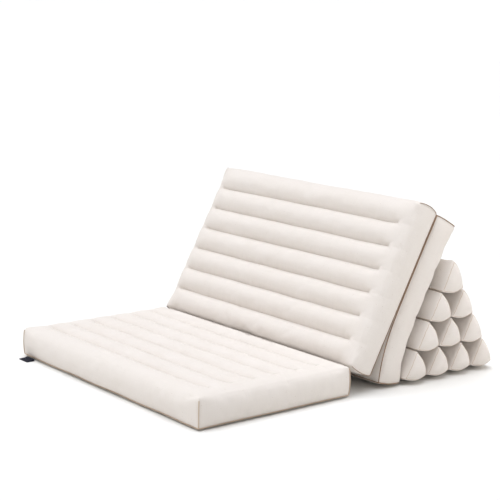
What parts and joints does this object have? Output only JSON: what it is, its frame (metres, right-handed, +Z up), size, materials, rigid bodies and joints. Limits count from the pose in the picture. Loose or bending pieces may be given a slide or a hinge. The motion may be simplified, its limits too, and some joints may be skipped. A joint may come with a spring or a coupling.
{
  "type": "thai triangle cushion",
  "caption": "Filled floor cushion: a wedge of stuffed triangular tubes with a quilted fold-out mat that lies flat as a seat and leans on the wedge as a backrest.",
  "frame": {"origin": "on the floor under the middle of the whole cushion's bounding box", "axes": "+X along the sewn channels, to the right of someone who faces the backrest; +Y from the seat towards the wedge; +Z up"},
  "size_m": [0.83, 0.9974, 0.4693],
  "materials": {
    "undyed_cotton": "matt undyed cotton canvas, plain weave",
    "navy_tape": "matt woven tape, plain"
  },
  "bodies": {
    "root": {"seat_section": "undyed_cotton", "back_section": "undyed_cotton", "rear_section": "undyed_cotton", "wedge_tube_1_1": "undyed_cotton", "wedge_tube_2_1": "undyed_cotton", "wedge_tube_2_2": "undyed_cotton", "wedge_tube_3_1": "undyed_cotton", "wedge_tube_3_2": "undyed_cotton", "wedge_tube_3_3": "undyed_cotton", "wedge_tube_4_1": "undyed_cotton", "wedge_tube_4_2": "undyed_cotton", "wedge_tube_4_3": "undyed_cotton", "wedge_tube_4_4": "undyed_cotton", "hinge_seat_back": "undyed_cotton", "hinge_back_rear": "undyed_cotton", "hinge_rear_wedge": "undyed_cotton", "seam_tab": "navy_tape"}
  },
  "joints": []
}
